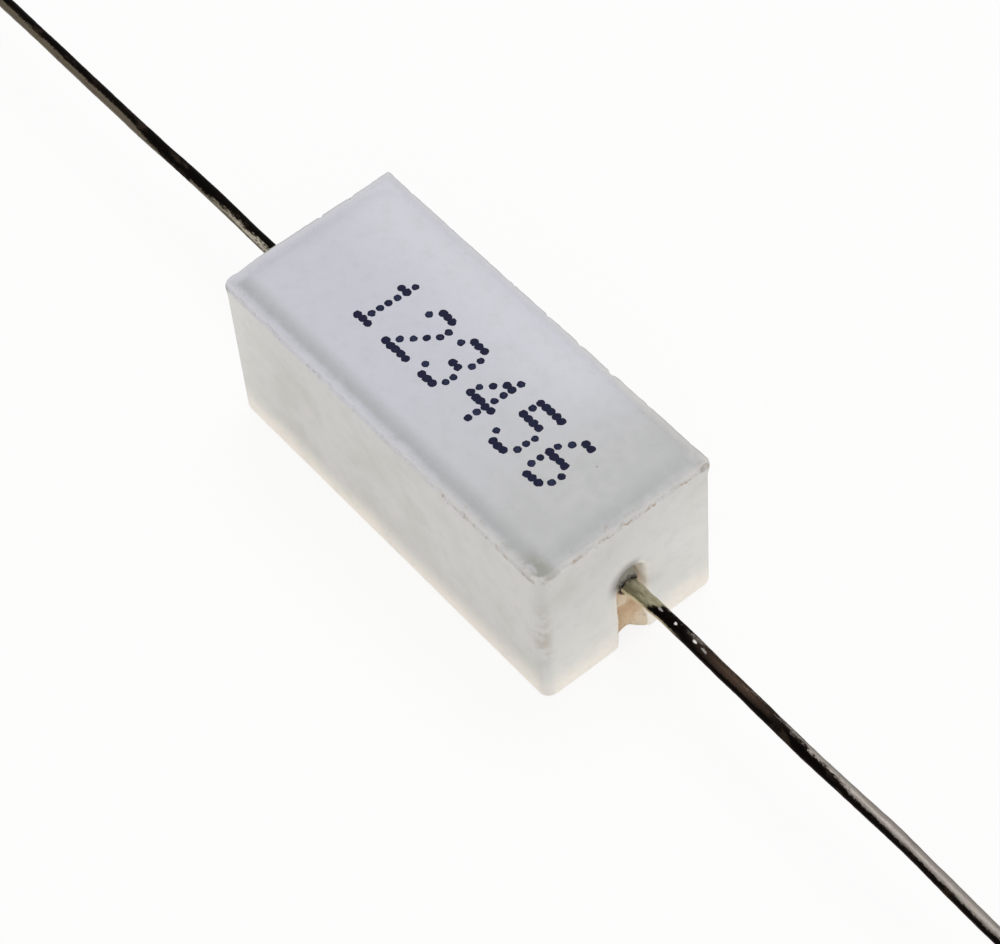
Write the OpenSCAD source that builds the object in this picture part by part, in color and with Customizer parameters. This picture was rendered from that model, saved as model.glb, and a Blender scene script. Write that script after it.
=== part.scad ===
// Power resistor with axial leads: a pressed ceramic case, open below, potted
// with cement round a wire-wound rod. Millimetres, +Z up. The leads run along X.
// The case stands on the rim of its open base at z = 0, its closed top is up,
// and the origin lies under the middle of the case.

/* [Ceramic case] */
// Length of the case along the leads
case_l = 22; // [19:0.5:30]
// Width of the case
case_w = 9.6; // [8.8:0.1:13]
// Height of the case over its raised panel
case_h = 9.2; // [8.6:0.1:13]
// Thickness of the two long walls
side_wall = 1.2; // [0.8:0.05:1.35]
// Thickness of the two end walls
end_wall = 1.2; // [1:0.05:1.8]
// Thickness of the closed top
roof_t = 1.5; // [1:0.05:2]
// Radius of the four upright outer edges
upright_r = 0.6; // [0.3:0.05:0.9]
// Radius of the outer edge round the open base
base_edge_r = 0.5; // [0.2:0.05:0.65]
// Radius in the four upright corners of the cavity
cavity_r = 0.8; // [0.4:0.05:1.2]

/* [Pressed panel on the top] */
// Width of the flat land between the panel and the outer edge
land_w = 0.4; // [0.3:0.05:0.8]
// Height of the panel above the land
panel_rise = 0.17; // [0.1:0.01:0.4]
// Width over which the edge of the panel rolls down to the land
panel_roll = 0.95; // [0.6:0.05:1.4]
// Corner radius of the flat field of the panel
field_r = 0.25; // [0.1:0.05:0.8]
// Radius of the outer edge round the land
land_edge_r = 0.12; // [0.05:0.01:0.25]

/* [Lead slots in the end walls] */
// Width of the slots
slot_w = 1.75; // [1.3:0.05:2.4]
// Height of the crown of the slots above the axis of the leads
slot_headroom = 1.65; // [1.3:0.05:2]
// Radius that flares the slots out at the rim of the base
slot_flare_r = 0.45; // [0.2:0.05:0.7]

/* [Cement] */
// Height of the face of the cement above the rim of the base
cement_recess = 0.4; // [0.1:0.05:0.7]
// Depth of the cement behind the outside of the end walls, in the slots
slot_setback = 0.75; // [0.3:0.05:0.95]

/* [Wound rod] */
// Height of the axis of the rod and the leads above the middle of the cement
axis_lift = 0.05; // [-0.4:0.05:0.4]
// Sideways place of that axis, from the middle of the case
axis_shift = 0.2; // [-0.4:0.05:0.4]
// Thickness of the cement between each cap and the end wall of the case
end_cover = 2.18; // [1:0.02:3.5]
// Diameter of the ceramic rod
core_d = 4.2; // [3.4:0.1:4.6]
// Chamfer on the ends of the rod
core_chamfer = 0.2; // [0.1:0.05:0.4]
// Diameter of the resistance wire
wire_d = 0.26; // [0.15:0.01:0.35]
// Least distance from one turn of the wire to the next
wire_pitch = 0.62; // [0.5:0.01:1.2]

/* [End caps] */
// Thickness of the sheet of the caps
cap_t = 0.32; // [0.2:0.01:0.45]
// Length that the skirt of a cap covers on the rod
cap_skirt = 2.3; // [1.5:0.1:3]
// Outer radius of the corner between skirt and end of a cap
cap_corner_r = 0.28; // [0.1:0.01:0.3]

/* [Leads] */
// Diameter of the leads
lead_d = 0.7; // [0.5:0.05:0.9]
// Free length of each lead outside the case
lead_out = 35; // [20:1:45]
// Diameter of the head that welds a lead to its cap
head_d = 1.3; // [1.1:0.05:2]
// Thickness of that head
head_t = 0.3; // [0.2:0.05:0.5]
// Length of the cone behind the head
head_cone = 0.3; // [0.2:0.05:0.5]
// Chamfer on the cut tip of a lead
tip_chamfer = 0.1; // [0.05:0.01:0.15]
// Thickness of the wash of cement round a lead, where it comes out of the cement
wash_t = 0.06; // [0.02:0.01:0.12]
// Distance past the end of the case at which the wash has thinned to nothing
wash_l = 2; // [0.5:0.1:4]

/* [Hidden] */

// Sides of the circles, and of the wide arc that rolls the panel's edge down
$fn = 64;
arc_sides = 256;
// Overlap that keeps a cut clear of the face that it passes
past = 0.5;
// Gap between the wire and what it lies on
wire_gap = 0.03;
// Sides of the wire, and rings in each of its turns
wire_sides = 6;
turn_rings = 24;

// Case
land_z = case_h - panel_rise;
roof_z = case_h - roof_t;
cavity_l = case_l - 2 * end_wall;
cavity_w = case_w - 2 * side_wall;
panel_l = case_l - 2 * land_w;
panel_w = case_w - 2 * land_w;
panel_foot_z = land_z - past;
panel_corner_r = field_r + panel_roll;
panel_arc_r = (panel_roll * panel_roll + panel_rise * panel_rise) / (2 * panel_rise);
axis_h = (cement_recess + roof_z) / 2 + axis_lift;
slot_top = axis_h + slot_headroom;
slot_face_x = case_l / 2 - slot_setback;

// Rod, caps and winding
core_l = cavity_l - 2 * (end_cover + cap_t);
core_r = core_d / 2;
cap_r = core_r + cap_t;
cap_face_x = core_l / 2 + cap_t;
wind_r = core_r + wire_gap + wire_d / 2;
wind_span = core_l - 2 * cap_skirt - wire_d - 2 * wire_gap;
turns = floor(wind_span / wire_pitch);
turn_step = wind_span / turns;
bore_r = max(cap_r, wind_r + wire_d / 2 + wire_gap);

// Leads
lead_r = lead_d / 2;
wash_end_x = case_l / 2 + wash_l;
lead_tip_x = case_l / 2 + lead_out;

// Sharp corner outside a quarter circle of radius r, past +x and +y
module corner_waste(r) {
    difference() {
        square(r + past);
        circle(r);
    }
}

// Rectangle about the origin with four round corners
module rounded_rect(l, w, r) {
    difference() {
        square([l, w], center = true);
        for (sx = [0, 1], sy = [0, 1])
            mirror([sx, 0]) mirror([0, sy])
                translate([l / 2 - r, w / 2 - r]) corner_waste(r);
    }
}

// Upright section of the case, as wide as w, with round edges above and below
module upright_section(w) {
    difference() {
        translate([-w / 2, 0]) square([w, land_z]);
        for (s = [0, 1]) mirror([s, 0]) {
            translate([w / 2 - land_edge_r, land_z - land_edge_r])
                corner_waste(land_edge_r);
            translate([w / 2 - base_edge_r, base_edge_r])
                mirror([0, 1]) corner_waste(base_edge_r);
        }
    }
}

// Turns a section drawn in x and y into one that stands across X
module along_x(from, to) {
    translate([from, 0, 0]) rotate([90, 0, 90]) linear_extrude(to - from) children();
}

// Outside of the case up to the land: three sections crossed
module case_block() {
    intersection() {
        linear_extrude(case_h) rounded_rect(case_l, case_w, upright_r);
        along_x(-case_l / 2 - past, case_l / 2 + past) upright_section(case_w);
        translate([0, case_w / 2 + past, 0]) rotate([90, 0, 0])
            linear_extrude(case_w + 2 * past) upright_section(case_l);
    }
}

// Section of the edge of the panel: flat for field_r, then rolling down to the land
module panel_edge() {
    translate([0, panel_foot_z]) square([field_r, case_h - panel_foot_z]);
    intersection() {
        translate([0, panel_foot_z]) square([panel_corner_r, case_h - panel_foot_z]);
        translate([field_r, case_h - panel_arc_r]) circle(panel_arc_r, $fn = arc_sides);
    }
}

// Raised panel with rolled edges and round corners
module panel() {
    side_l = panel_l - 2 * panel_corner_r;
    end_w = panel_w - 2 * panel_corner_r;
    translate([-side_l / 2, -end_w / 2, panel_foot_z])
        cube([side_l, end_w, case_h - panel_foot_z]);
    for (s = [0, 1]) mirror([0, s, 0]) translate([0, end_w / 2, 0])
        along_x(-side_l / 2, side_l / 2) panel_edge();
    for (s = [0, 1]) mirror([s, 0, 0]) translate([side_l / 2, end_w / 2, 0])
        rotate([90, 0, 0]) linear_extrude(end_w) panel_edge();
    for (sx = [0, 1], sy = [0, 1]) mirror([sx, 0, 0]) mirror([0, sy, 0])
        translate([side_l / 2, end_w / 2, 0])
            rotate_extrude(angle = 90) panel_edge();
}

// Arched slot as it is seen along X, open at the base, where it flares
module slot_section() {
    r = slot_w / 2;
    translate([axis_shift, 0]) {
        translate([0, slot_top - r]) circle(r);
        translate([-r, -past]) square([slot_w, slot_top - r + past]);
        for (s = [0, 1]) mirror([s, 0]) difference() {
            translate([0, -past]) square([r + slot_flare_r, slot_flare_r + past]);
            translate([r + slot_flare_r, slot_flare_r]) circle(slot_flare_r);
        }
    }
}

// Slots through both end walls
module slots() {
    for (s = [0, 1]) mirror([s, 0, 0])
        along_x(cavity_l / 2 - past, case_l / 2 + past) slot_section();
}

// Space inside the case, from z = from upwards
module cavity(from) {
    translate([0, 0, from]) linear_extrude(roof_z - from)
        rounded_rect(cavity_l, cavity_w, cavity_r);
}

// Places what is drawn about the X axis on the axis of the rod and the leads
module on_axis() {
    translate([0, axis_shift, axis_h]) children();
}

// Cylinder along X between two places, or a cone where end_r is given
module bar(from, to, r, end_r = undef) {
    translate([from, 0, 0]) rotate([0, 90, 0])
        cylinder(h = to - from, r1 = r, r2 = is_undef(end_r) ? r : end_r);
}

// Outer shape of a cap on the +X end, with its rolled corner
module cap_outside() {
    translate([core_l / 2 - cap_skirt, 0, 0]) rotate([0, 90, 0]) rotate_extrude()
        difference() {
            square([cap_r, cap_skirt + cap_t]);
            translate([cap_r - cap_corner_r, cap_skirt + cap_t - cap_corner_r])
                corner_waste(cap_corner_r);
        }
}

// Rod between the two caps, chamfered at its ends
module core_body() {
    half = core_l / 2;
    bar(-half + core_chamfer, half - core_chamfer, core_r);
    for (s = [0, 1]) mirror([s, 0, 0])
        bar(half - core_chamfer, half, core_r, core_r - core_chamfer);
}

// Cap on the +X end: a cup pressed over the rod
module end_cap() {
    difference() {
        cap_outside();
        bar(core_l / 2 - cap_skirt - past, core_l / 2, core_r);
    }
}

// Lead on the +X end: weld head and cone, root in the cement, tapered wash where it
// comes out, then the bare wire to its tip
module lead() {
    cone_x = cap_face_x + head_t;
    root_x = cone_x + head_cone;
    chamfer_x = lead_tip_x - tip_chamfer;
    bar(cap_face_x, cone_x, head_d / 2);
    bar(cone_x, root_x, head_d / 2, lead_r);
    bar(root_x, slot_face_x, lead_r);
    bar(slot_face_x, wash_end_x, lead_r + wash_t, lead_r);
    bar(wash_end_x, chamfer_x, lead_r);
    bar(chamfer_x, lead_tip_x, lead_r, lead_r - tip_chamfer);
}

// Middle of the wire at turn t, counted from the -X end
function wind_point(t) =
    [(t - turns / 2) * turn_step, wind_r * cos(360 * t), wind_r * sin(360 * t)];

// Ring of points round the wire at turn t
function wind_ring(t) =
    let (p = wind_point(t), out = [0, cos(360 * t), sin(360 * t)])
    [for (k = [0 : wire_sides - 1])
        let (a = 360 * k / wire_sides)
        p + wire_d / 2 * (cos(a) * out + sin(a) * [1, 0, 0])];

module ceramic_case() {
    color([0.92, 0.92, 0.91])
        difference() {
            union() {
                case_block();
                panel();
            }
            cavity(-past);
            slots();
        }
}

module cement_fill() {
    color([0.86, 0.77, 0.67])
        difference() {
            union() {
                cavity(cement_recess);
                intersection() {
                    for (s = [0, 1]) mirror([s, 0, 0])
                        along_x(cavity_l / 2 - past, slot_face_x) slot_section();
                    translate([-case_l / 2, -case_w / 2, cement_recess])
                        cube([case_l, case_w, roof_z - cement_recess]);
                }
            }
            on_axis() {
                bar(cap_skirt - core_l / 2, core_l / 2 - cap_skirt, bore_r);
                for (s = [0, 1]) mirror([s, 0, 0]) {
                    cap_outside();
                    lead();
                }
            }
        }
}

module ceramic_core() {
    color([0.9, 0.87, 0.8]) on_axis() core_body();
}

module resistance_winding() {
    rings = turns * turn_rings;
    points = [for (i = [0 : rings]) each wind_ring(i / turn_rings)];
    walls = [for (i = [0 : rings - 1], k = [0 : wire_sides - 1])
        let (a = i * wire_sides, next = (k + 1) % wire_sides)
        [a + k, a + next, a + wire_sides + next, a + wire_sides + k]];
    first_end = [for (k = [wire_sides - 1 : -1 : 0]) k];
    last_end = [for (k = [0 : wire_sides - 1]) rings * wire_sides + k];
    color([0.6, 0.55, 0.48]) on_axis()
        polyhedron(points, concat(walls, [first_end, last_end]), convexity = 10);
}

module end_cap_left() {
    color([0.66, 0.67, 0.69]) on_axis() mirror([1, 0, 0]) end_cap();
}

module end_cap_right() {
    color([0.66, 0.67, 0.69]) on_axis() end_cap();
}

module lead_left() {
    color([0.42, 0.39, 0.34]) on_axis() mirror([1, 0, 0]) lead();
}

module lead_right() {
    color([0.42, 0.39, 0.34]) on_axis() lead();
}

ceramic_case();
cement_fill();
ceramic_core();
resistance_winding();
end_cap_left();
end_cap_right();
lead_left();
lead_right();
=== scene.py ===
"""Looks of a cement-potted resistor with axial leads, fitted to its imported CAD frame.

Meshes are shaped in millimetres and become metres when a piece is finished. The case
stands on z = 0, the leads run along X, and the raised panel of the case is on top.
"""

import logging
import math
import random
from dataclasses import dataclass, field
from enum import Enum
from typing import Any

import bmesh
import bpy
from mathutils import Matrix, Vector, noise

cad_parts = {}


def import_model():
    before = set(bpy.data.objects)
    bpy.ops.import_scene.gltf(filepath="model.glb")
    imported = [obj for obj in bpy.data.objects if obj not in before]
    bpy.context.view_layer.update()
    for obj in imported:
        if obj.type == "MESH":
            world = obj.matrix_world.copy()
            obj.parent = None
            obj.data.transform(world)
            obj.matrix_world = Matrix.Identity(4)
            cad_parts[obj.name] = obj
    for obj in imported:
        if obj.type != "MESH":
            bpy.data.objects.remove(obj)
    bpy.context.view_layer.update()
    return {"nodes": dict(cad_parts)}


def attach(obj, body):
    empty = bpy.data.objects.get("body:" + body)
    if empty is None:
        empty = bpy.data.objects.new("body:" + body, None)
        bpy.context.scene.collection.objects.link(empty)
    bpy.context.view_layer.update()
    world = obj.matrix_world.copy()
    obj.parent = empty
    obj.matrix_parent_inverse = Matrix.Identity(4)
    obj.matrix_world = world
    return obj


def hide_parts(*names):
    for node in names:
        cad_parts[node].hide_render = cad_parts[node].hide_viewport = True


LOG = logging.getLogger("axial_resistor")
BODY = "root"
METRES = 0.001

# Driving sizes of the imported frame, in millimetres
CASE_LENGTH = 22.0
CASE_WIDTH = 9.6
CASE_HEIGHT = 9.2
LEAD_Y = 0.2
LEAD_Z = 4.1
CEMENT_FACE_X = 10.25

Colour = tuple[float, float, float, float]


class Slot(Enum):
    """Material slots of the pieces that are made here."""

    CASE = "case_ceramic"
    CEMENT = "potting_cement"
    LEAD = "lead_wire"
    INK = "marking_ink"


class End(Enum):
    """The two ends of the resistor, as the sign of X."""

    LEFT = -1
    RIGHT = 1


def paint(red: int, green: int, blue: int) -> Colour:
    """Linear colour of a shade that is read off a picture.

    Args:
        red: Red from 0 to 255.
        green: Green from 0 to 255.
        blue: Blue from 0 to 255.

    Returns:
        The colour as a shader takes it, with full alpha.
    """
    linear = [
        c / 12.92 if c <= 0.04045 else ((c + 0.055) / 1.055) ** 2.4
        for c in (red / 255, green / 255, blue / 255)
    ]
    return (linear[0], linear[1], linear[2], 1.0)


def ease(value: float, low: float, high: float) -> float:
    """Smooth step of a value.

    Args:
        value: The value.
        low: Where the step starts, at 0.
        high: Where it ends, at 1. It may be below low.

    Returns:
        A number from 0 to 1.
    """
    t = min(1.0, max(0.0, (value - low) / (high - low)))
    return t * t * (3 - 2 * t)


def ease_in(value: float, reach: float) -> float:
    """1 at a value of 0 or less, which falls evenly to 0 at reach."""
    return min(1.0, max(0.0, 1 - value / reach))


def waves(place: Vector, size: float, seed: float = 0.0) -> float:
    """Slow random waves in space.

    Args:
        place: Where they are asked for, in millimetres.
        size: Width of a wave in millimetres.
        seed: Shifts the pattern, so that two uses differ.

    Returns:
        Their height, about -1 to 1.
    """
    return noise.noise(place / size + Vector((seed, 2.3 * seed, -seed)))


class Signal:
    """An output socket of a material's nodes that takes part in arithmetic."""

    def __init__(self, graph: "Graph", socket: bpy.types.NodeSocket) -> None:
        """Wraps a socket.

        Args:
            graph: The graph that the socket is in.
            socket: The socket.
        """
        self.graph = graph
        self.socket = socket

    def _math(self, operation: str, first: Any, second: Any = 0.0) -> "Signal":
        """One Math node.

        Args:
            operation: Its operation.
            first: A signal or number.
            second: A signal or number.

        Returns:
            Its output.
        """
        inputs = {0: first, 1: second}
        return self.graph.add("ShaderNodeMath", {"operation": operation}, inputs)

    def __add__(self, other: Any) -> "Signal":
        """Sum."""
        return self._math("ADD", self, other)

    def __radd__(self, other: Any) -> "Signal":
        """Sum, reflected."""
        return self._math("ADD", other, self)

    def __sub__(self, other: Any) -> "Signal":
        """Difference."""
        return self._math("SUBTRACT", self, other)

    def __rsub__(self, other: Any) -> "Signal":
        """Difference, reflected."""
        return self._math("SUBTRACT", other, self)

    def __mul__(self, other: Any) -> "Signal":
        """Product."""
        return self._math("MULTIPLY", self, other)

    def __rmul__(self, other: Any) -> "Signal":
        """Product, reflected."""
        return self._math("MULTIPLY", other, self)

    def __abs__(self) -> "Signal":
        """Size without the sign."""
        return self._math("ABSOLUTE", self)

    def beside(self, output: int | str) -> "Signal":
        """Another output of the same node."""
        return Signal(self.graph, self.socket.node.outputs[output])

    def least(self, other: Any) -> "Signal":
        """The lower of this and another."""
        return self._math("MINIMUM", self, other)

    def most(self, other: Any) -> "Signal":
        """The higher of this and another."""
        return self._math("MAXIMUM", self, other)

    def step(self, low: float, high: float) -> "Signal":
        """Smooth step from 0 at low to 1 at high, which may be below low."""
        settings = {"interpolation_type": "SMOOTHSTEP"}
        return self.graph.add("ShaderNodeMapRange", settings, {0: self, 1: low, 2: high})

    def band(self, low: float, peak: float, high: float) -> "Signal":
        """Rises from 0 at low to 1 at peak, and falls to 0 at high."""
        return self.step(low, peak) * self.step(high, peak)


class Graph:
    """Builds the nodes of one material round its principled shader."""

    def __init__(self, name: str) -> None:
        """Starts a material.

        Args:
            name: Its name.
        """
        self.material = bpy.data.materials.new(name)
        self.material.use_nodes = True
        self.tree = self.material.node_tree
        self.shader = self.tree.nodes["Principled BSDF"]

    def add(
        self,
        kind: str,
        settings: dict[str, Any],
        inputs: dict[int | str, Any],
        output: int | str = 0,
    ) -> Signal:
        """Adds a node.

        Args:
            kind: Its type.
            settings: Its own settings, which are made first.
            inputs: Signals, numbers or colours for its input sockets.
            output: The output socket that is wanted.

        Returns:
            That output.
        """
        node = self.tree.nodes.new(kind)
        for name, value in settings.items():
            setattr(node, name, value)
        for key, value in inputs.items():
            self._feed(node.inputs[key], value)
        return Signal(self, node.outputs[output])

    def _feed(self, socket: bpy.types.NodeSocket, value: Any) -> None:
        """Links a signal to a socket, or sets its value.

        Args:
            socket: The input socket.
            value: The signal, number or colour.
        """
        if isinstance(value, Signal):
            self.tree.links.new(value.socket, socket)
        else:
            socket.default_value = value

    def dress(self, **sockets: Any) -> bpy.types.Material:
        """Feeds the shader.

        Args:
            sockets: Values by the socket's name, with _ for a space.

        Returns:
            The finished material.
        """
        for name, value in sockets.items():
            self._feed(self.shader.inputs[name.replace("_", " ")], value)
        return self.material

    def place(self) -> Signal:
        """Object coordinates in millimetres.

        Returns:
            The vector.
        """
        spot = self.add("ShaderNodeTexCoord", {}, {}, "Object")
        settings = {"operation": "SCALE"}
        return self.add("ShaderNodeVectorMath", settings, {0: spot, "Scale": 1 / METRES})

    def axes(self, vector: Signal) -> tuple[Signal, Signal, Signal]:
        """The three parts of a vector."""
        parts = self.add("ShaderNodeSeparateXYZ", {}, {0: vector})
        return parts, parts.beside(1), parts.beside(2)

    def stretch(self, vector: Signal, x: float, y: float, z: float) -> Signal:
        """A vector with its three parts multiplied."""
        settings = {"operation": "MULTIPLY"}
        return self.add("ShaderNodeVectorMath", settings, {0: vector, 1: (x, y, z)})

    def grain(
        self, vector: Signal, size: float, detail: float = 3.0, roughness: float = 0.5
    ) -> Signal:
        """Random pattern.

        Args:
            vector: Where it is read, in millimetres.
            size: Width of its coarsest features, in millimetres.
            detail: Number of finer layers.
            roughness: Strength of those layers.

        Returns:
            A signal about 0.5.
        """
        inputs = {"Vector": vector, "Scale": 1 / size, "Detail": detail, "Roughness": roughness}
        return self.add("ShaderNodeTexNoise", {}, inputs)

    def specks(self, vector: Signal, cell: float, radius: float, share: float) -> Signal:
        """Scattered round specks.

        Args:
            vector: Where they are read, in millimetres.
            cell: Mean distance between places for a speck.
            radius: Radius of a speck in millimetres.
            share: Share of the places that have one.

        Returns:
            1 in a speck and 0 outside.
        """
        inputs = {"Vector": vector, "Scale": 1 / cell}
        near = self.add("ShaderNodeTexVoronoi", {}, inputs)
        picked = self.axes(near.beside("Color"))[0].step(share, share * 0.9)
        return near.step(radius / cell, radius / cell * 0.45) * picked

    def blend(self, factor: Any, first: Any, second: Any) -> Signal:
        """Colour between two colours, by a factor from 0 to 1."""
        settings = {"data_type": "RGBA"}
        return self.add("ShaderNodeMix", settings, {0: factor, 6: first, 7: second}, 2)

    def attribute(self, name: str) -> Signal:
        """A number that is stored on the mesh."""
        return self.add("ShaderNodeAttribute", {"attribute_name": name}, {}, "Fac")

    def bump(self, height: Signal, depth: float) -> Signal:
        """Normal of a rough surface.

        Args:
            height: Its height as a signal.
            depth: What a height of 1 stands for, in millimetres.

        Returns:
            The normal.
        """
        inputs = {"Height": height, "Distance": depth * METRES, "Strength": 1.0}
        return self.add("ShaderNodeBump", {}, inputs)


def edge_meeting(first: Signal, second: Signal) -> Signal:
    """Distance from the line at which two distances are both 0.

    Args:
        first: One distance.
        second: The other.

    Returns:
        The length of the two together.
    """
    total = first * first + second * second
    return total.graph.add("ShaderNodeMath", {"operation": "SQRT"}, {0: total})


@dataclass(frozen=True)
class CaseSpot:
    """A point of the case's surface, with the patterns that several layers of dirt share."""

    graph: Graph
    place: Signal
    x: Signal
    y: Signal
    z: Signal
    edge: Signal
    cloud: Signal
    mottle: Signal
    fine: Signal


@dataclass(frozen=True)
class CeramicFinish:
    """Unglazed white ceramic of the case, with the dirt of handling and painted light and shade.
    """

    top_cool: Colour = paint(198, 199, 207)
    top_plain: Colour = paint(193, 193, 194)
    top_far_lit: Colour = paint(208, 209, 216)
    rim: Colour = paint(202, 201, 206)
    rim_plain: Colour = paint(206, 203, 199)
    valley: Colour = paint(166, 167, 168)
    wall: Colour = paint(209, 207, 204)
    wall_shade: Colour = paint(201, 200, 195)
    foot: Colour = paint(254, 246, 235)
    end_wall: Colour = paint(227, 226, 222)
    haze: Colour = paint(176, 177, 176)
    dust: Colour = paint(150, 150, 140)
    stain: Colour = paint(158, 136, 112)
    soot_and_shade: Colour = paint(88, 84, 80)
    speck: Colour = paint(70, 66, 62)
    smear_and_light: Colour = paint(240, 232, 219)
    half_length: float = CASE_LENGTH / 2
    half_width: float = CASE_WIDTH / 2
    rim_z: float = 9.0
    slot_y: float = LEAD_Y
    slot_r: float = 0.8
    arch_z: float = 4.88
    rim_marks: tuple[tuple[float, float, float], ...] = (
        (1.8, 0.17, 1.0), (0.15, 0.4, 0.5), (-2.75, 0.75, 0.75), (-4.5, 0.5, 0.7),
        (3.6, 0.14, 0.7), (4.45, 0.14, 0.5),
    )

    def material(self) -> bpy.types.Material:
        """Makes the material.

        Returns:
            The material.
        """
        graph = Graph("fired_ceramic")
        place = graph.place()
        x, y, z = graph.axes(place)
        spot = CaseSpot(
            graph, place, x, y, z,
            edge=(self.half_length - abs(x)).least(self.half_width - abs(y)),
            cloud=graph.grain(place, 2.6, 2.0),
            mottle=graph.grain(place, 0.7, 3.0, 0.6),
            fine=graph.grain(place, 0.09, 2.0, 0.6),
        )
        worn = (spot.cloud * 0.6 + spot.mottle * 0.4).step(0.42, 0.6)
        haze = (x + spot.cloud * 4.0).step(6.5, 11.5) * worn
        top = (z + spot.mottle * 0.08).step(8.86, 8.98)
        colour = graph.blend(top, self._walls(spot), self._face(spot, haze))
        colour = self._marked(spot, colour)
        rough = graph.grain(place, 0.32, 4.0, 0.6)
        pits = graph.grain(place, 0.17, 1.0).step(0.66, 0.78)
        height = rough * 0.6 + spot.fine * 0.4 - pits * 0.5
        return graph.dress(
            Base_Color=colour,
            Roughness=0.62 + (spot.mottle - 0.5) * 0.35 + haze * 0.08,
            Normal=graph.bump(height, 0.014),
            Specular_IOR_Level=0.35,
        )

    def _face(self, spot: CaseSpot, haze: Signal) -> Signal:
        """Colour of the top, with its panel and rim.

        Args:
            spot: Where it is asked for.
            haze: Strength of the grey haze at the right.

        Returns:
            The colour.
        """
        graph, x, y = spot.graph, spot.x, spot.y
        drift = (x + spot.cloud * 5.0).step(11.5, 1.0)
        face = graph.blend(drift, self.top_plain, self.top_cool)
        # Painted light: the far part of the top, away from the right end, is lighter.
        far = (y + spot.cloud * 1.5).step(0.5, 4.6) * x.step(8.0, 3.0)
        face = graph.blend(far * 0.9, face, self.top_far_lit)
        # Grime with painted shade in the foot of the roll, mostly on the sides that face away
        # from the light.
        grime_and_shade = self._valley(spot) * (0.5 + spot.mottle * 0.5 + (spot.fine - 0.5) * 0.5)
        face = graph.blend(grime_and_shade, face, self.valley)
        rim = graph.blend(x.step(-2.0, 8.0), self.rim, self.rim_plain)
        face = graph.blend((spot.edge + spot.mottle * 0.2).step(0.52, 0.3) * 0.7, face, rim)
        face = graph.blend(haze * 0.25, face, self.haze)
        dust = abs(x - 10.3).step(1.3, 0.1) * abs(y + 4.15).step(0.75, 0.1)
        return graph.blend(dust * spot.mottle.step(0.3, 0.55) * 0.85, face, self.dust)

    def _walls(self, spot: CaseSpot) -> Signal:
        """Colour of the walls, pale at the foot and dirty at the slot and the near edge.

        The pale foot is painted bounce light, the lighter ends are painted light, the slot's
        cement smear is lightened as painted light, and the soot over the slot has painted shade.

        Args:
            spot: Where it is asked for.

        Returns:
            The colour.
        """
        graph, x, y, z = spot.graph, spot.x, spot.y, spot.z
        wall = graph.blend((spot.cloud + z * 0.02).step(0.4, 0.72), self.wall_shade, self.wall)
        # Painted light: the ends are lighter, the right one most low down and towards the back.
        end = x.step(10.6, 10.85) * (y * 0.5 - z * 1.1).step(-10.5, -1.5)
        wall = graph.blend(end.most(x.step(-6.5, -11.0) * 0.6) * 0.9, wall, self.end_wall)
        # Painted bounce light: the foot is paler and warmer.
        wall = graph.blend((z + spot.cloud * 1.2).step(3.0, 0.5) * 0.95, wall, self.foot)
        upright = edge_meeting(x - self.half_length, y + self.half_width)
        wall = graph.blend(upright.step(0.7, 0.15) * 0.45, wall, self.haze)
        smudge = upright.step(0.75, 0.1) * z.band(2.2, 4.6, 8.4) * spot.mottle.step(0.42, 0.6)
        wall = graph.blend(smudge * 0.5, wall, self.stain)
        # Cream cement smear in the slot, lightened as painted light, with a ring of it round the
        # mouth.
        lined = abs(x).step(10.97, 10.85) * abs(y - self.slot_y).step(1.2, 1.0)
        arch = edge_meeting(y - self.slot_y, (z - self.arch_z).most(0.0)) - self.slot_r
        halo = arch.step(0.3, 0.0) * x.step(10.5, 10.8) * 0.6
        wall = graph.blend((lined * 0.9).most(halo), wall, self.smear_and_light)
        # Soot with painted recess shade over the crown of the slot.
        return graph.blend(self._soot_and_shade(spot, arch + spot.mottle * 0.35), wall, self.soot_and_shade)

    def _marked(self, spot: CaseSpot, colour: Signal) -> Signal:
        """Puts the dirt, nicks and specks over the plain colour.

        Args:
            spot: Where it is asked for.
            colour: The colour of the top and the walls.

        Returns:
            The colour with its marks.
        """
        graph, x, y, z, edge = spot.graph, spot.x, spot.y, spot.z, spot.edge
        colour = graph.blend(self._rim_dirt(spot) * 0.75, colour, self.stain)
        far_edge = y.step(4.0, 4.4).most(x.step(-10.2, -10.7)) * edge.step(0.1, 0.04)
        colour = graph.blend(far_edge * z.step(8.75, 8.9) * 0.6, colour, self.dust)
        nick = graph.grain(spot.place, 0.24, 2.0).step(0.6, 0.68) * z.band(8.78, 8.96, 9.12)
        colour = graph.blend(nick * edge.step(0.22, 0.1) * 0.45, colour, self.dust)
        mottling = (spot.mottle - 0.5) * 0.7 + (spot.fine - 0.5) * 0.35
        colour = graph.blend(mottling, colour, self.haze)
        flecks = graph.specks(spot.place, 1.9, 0.05, 0.3)
        return graph.blend(flecks * 0.8, colour, self.speck)

    def _valley(self, spot: CaseSpot) -> Signal:
        """Grime and painted shade in the roll's foot round the panel, mostly at the front and
        right.

        Args:
            spot: Where it is asked for.

        Returns:
            Its strength from 0 to 1.
        """
        x, y = spot.x, spot.y
        shift = spot.mottle * 0.2 - 0.1
        front = (y + self.half_width + shift).band(0.32, 0.66, 1.5)
        right = (self.half_length - x + shift).band(0.32, 0.72, 1.6)
        left = (self.half_length + x + shift).band(0.3, 0.6, 1.3)
        inside = (self.half_width - abs(y)).step(0.3, 0.7)
        within = (self.half_length - abs(x)).step(0.3, 0.7)
        return (front * within).most(right * inside * 0.7).most(left * inside * 0.1)

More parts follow.
